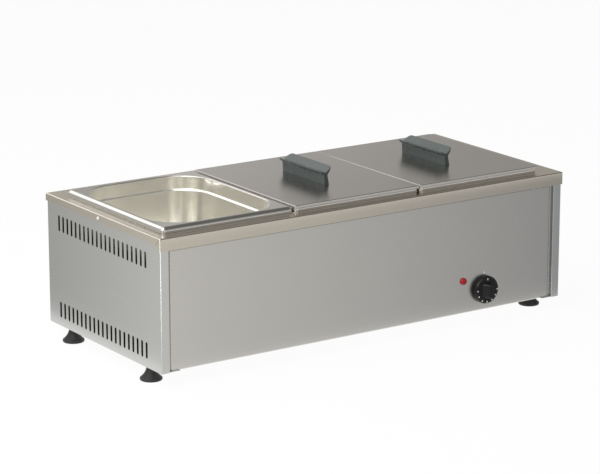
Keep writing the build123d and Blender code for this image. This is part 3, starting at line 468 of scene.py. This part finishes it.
def seenDirectly(tree):
    # 1 for rays from the camera, mirrors and glass, 0 for light that bounces about
    path = addNode(tree, "ShaderNodeLightPath")
    some = addNode(tree, "ShaderNodeMath",
                   {0: path.outputs["Is Camera Ray"], 1: path.outputs["Is Glossy Ray"]}, operation="MAXIMUM")
    every = addNode(tree, "ShaderNodeMath",
                    {0: some.outputs[0], 1: path.outputs["Is Transmission Ray"]}, operation="MAXIMUM")
    return every.outputs[0]


def blankMaterial(name):
    material = bpy.data.materials.new(name)
    material.use_nodes = True
    material.node_tree.nodes.clear()
    return material, material.node_tree


def addSheet(name, outline, material):
    shape = bmesh.new()
    shape.faces.new([shape.verts.new(corner) for corner in outline])
    sheet = bpy.data.objects.new(name, meshFrom(shape, name, material))
    bpy.context.scene.collection.objects.link(sheet)
    return sheet


def makeFloor():
    material, tree = blankMaterial("floor_paper")
    paper = addNode(tree, "ShaderNodeBsdfDiffuse", {"Color": hexColor(studio["floorColor"])})
    glow = addNode(tree, "ShaderNodeEmission", {"Color": (1, 1, 1, 1), "Strength": 1.0})
    share = addNode(tree, "ShaderNodeMath",
                    {0: seenDirectly(tree), 1: studio["floorGlow"]}, operation="MULTIPLY")
    mixed = addNode(tree, "ShaderNodeMixShader",
                    {0: share.outputs[0], 1: paper.outputs[0], 2: glow.outputs[0]})
    addNode(tree, "ShaderNodeOutputMaterial", {"Surface": mixed.outputs[0]})
    half = studio["floorSize"] / 2
    outline = [(-half, -half, 0), (half, -half, 0), (half, half, 0), (-half, half, 0)]
    floor = addSheet("floor", outline, material)


def makeRoom():
    world = bpy.data.worlds.new("studio")
    bpy.context.scene.world = world
    world.use_nodes = True
    tree = world.node_tree
    tree.nodes.clear()
    place = addNode(tree, "ShaderNodeTexCoord")
    way = addNode(tree, "ShaderNodeSeparateXYZ", {0: place.outputs["Generated"]})
    side = addNode(tree, "ShaderNodeMapRange",
                   {"Value": way.outputs["X"], "From Min": studio["sideStart"],
                    "From Max": studio["sideFull"]}, interpolation_type="SMOOTHSTEP")
    walls = addNode(tree, "ShaderNodeMix",
                    {"Factor": side.outputs[0], "A": hexColor(studio["roomLeft"]),
                     "B": hexColor(studio["roomRight"])}, data_type="RGBA")
    depth = addNode(tree, "ShaderNodeMapRange",
                    {"Value": way.outputs["Y"], "From Min": studio["depthStart"],
                     "From Max": studio["depthFull"]}, interpolation_type="SMOOTHSTEP")
    upper = addNode(tree, "ShaderNodeMix",
                    {"Factor": depth.outputs[0], "A": hexColor(studio["roomFront"]),
                     "B": hexColor(studio["roomTop"])}, data_type="RGBA")
    crown = addNode(tree, "ShaderNodeMix",
                    {"Factor": side.outputs[0], "A": hexColor(studio["roomTopLeft"]),
                     "B": upper.outputs["Result"]}, data_type="RGBA")
    start = addNode(tree, "ShaderNodeMapRange",
                    {"Value": depth.outputs[0], "To Min": studio["frontStart"], "To Max": studio["topStart"]})
    full = addNode(tree, "ShaderNodeMapRange",
                   {"Value": depth.outputs[0], "To Min": studio["frontFull"], "To Max": studio["topFull"]})
    height = addNode(tree, "ShaderNodeMapRange",
                     {"Value": way.outputs["Z"], "From Min": start.outputs[0], "From Max": full.outputs[0]},
                     interpolation_type="SMOOTHSTEP")
    room = addNode(tree, "ShaderNodeMix",
                   {"Factor": height.outputs[0], "A": walls.outputs["Result"], "B": crown.outputs["Result"]},
                   data_type="RGBA")
    light = addNode(tree, "ShaderNodeBackground", {"Color": room.outputs["Result"], "Strength": 1.0})
    addNode(tree, "ShaderNodeOutputWorld", {"Surface": light.outputs[0]})


# Soft boxes, width by height in metres, each turned to its aim
lamps = {
    "keyLeft": {"place": (-1.9, -0.9, 1.7), "aim": (0, 0, 0.15), "size": (1.0, 1.0), "power": 20},
    "backTop": {"place": (-0.5, 1.75, 1.4), "aim": (-0.4, 0, 0.25), "size": (2.0, 1.0), "power": 7},
    "overhead": {"place": (-0.8, 0.1, 1.9), "aim": (-0.3, 0, 0.2), "size": (1.8, 1.8), "power": 18},
    "lowLeft": {"place": (-0.76, -0.42, 0.09), "aim": (-0.43, -0.2, 0.15), "size": (0.22, 0.17),
                "power": 0.33},
    "frontFill": {"place": (-0.6, -2.4, 1.1), "aim": (0, 0, 0.15), "size": (1.2, 1.2), "power": 2},
}


def makeLamps():
    for name, look in lamps.items():
        data = bpy.data.lights.new(name, "AREA")
        data.shape = "RECTANGLE"
        data.size, data.size_y = look["size"]
        data.energy = look["power"]
        lamp = bpy.data.objects.new(name, data)
        lamp.location = look["place"]
        lamp.rotation_mode = "QUATERNION"
        lamp.rotation_quaternion = (Vector(look["place"]) - Vector(look["aim"])).to_track_quat("Z", "Y")
        lamp.visible_camera = False
        bpy.context.scene.collection.objects.link(lamp)


# Cards that the panels and lids mirror: glowing sheets, pale at the near or left end and greyer away from it,
# that paint reflections on the metal
# Only mirrors see them
cards = {
    "back_card": {"from": (-0.1, 0.36), "to": (0.8, 0.36), "foot": 0.26, "top": 0.46,
                  "near": "CDCBC9", "far": "A9A8A6"},
    "front_card": {"from": (-0.485, -0.26), "to": (0.72, -0.26), "foot": 0, "top": 0.245,
                   "near": "E3E3E1", "far": "93969A"},
    "side_card": {"from": (-0.5, -0.225), "to": (-0.5, 0.52), "foot": 0, "top": 0.27,
                  "near": "E3E3E1", "far": "A5A6A3"},
}


def makeCards():
    for name, look in cards.items():
        start = Vector((*look["from"], 0))
        end = Vector((*look["to"], 0))
        foot = Vector((0, 0, look["foot"]))
        top = Vector((0, 0, look["top"]))
        along = end - start
        material, tree = blankMaterial("painted_reflection_" + name)
        place = addNode(tree, "ShaderNodeTexCoord")
        offset = addNode(tree, "ShaderNodeVectorMath",
                         {0: place.outputs["Object"], 1: start}, operation="SUBTRACT")
        share = addNode(tree, "ShaderNodeVectorMath",
                        {0: offset.outputs[0], 1: along / along.length_squared}, operation="DOT_PRODUCT")
        shade = addNode(tree, "ShaderNodeMix",
                        {"Factor": share.outputs["Value"], "A": hexColor(look["near"]),
                         "B": hexColor(look["far"])}, data_type="RGBA")
        # painted reflection: the card glows with its graded colour, seen only by mirror rays
        glow = addNode(tree, "ShaderNodeEmission", {"Color": shade.outputs["Result"]})
        addNode(tree, "ShaderNodeOutputMaterial", {"Surface": glow.outputs[0]})
        card = addSheet(name, [start + foot, end + foot, end + top, start + top], material)
        card.visible_camera = False
        card.visible_diffuse = False
        card.visible_shadow = False
        card.visible_transmission = False


# Camera worked out from the photograph's edges: a long lens, to the left and a little above
camera = {
    "place": (-2.6157, -3.8440, 1.3885),
    "back": (-0.5416, -0.8009, 0.2553),  # the way from the object to the lens
    "lens": 159.8,
    "sensor": 36,
    "reach": 100,
}


def makeCamera():
    data = bpy.data.cameras.new("camera")
    data.sensor_width = camera["sensor"]
    data.lens = camera["lens"]
    data.clip_end = camera["reach"]
    eye = bpy.data.objects.new("camera", data)
    eye.location = camera["place"]
    eye.rotation_mode = "QUATERNION"
    eye.rotation_quaternion = Vector(camera["back"]).to_track_quat("Z", "Y")
    bpy.context.scene.collection.objects.link(eye)
    bpy.context.scene.camera = eye


makeFloor()
makeRoom()
makeLamps()
makeCards()
makeCamera()
bpy.context.scene.view_settings.view_transform = "Standard"
print("studio made")
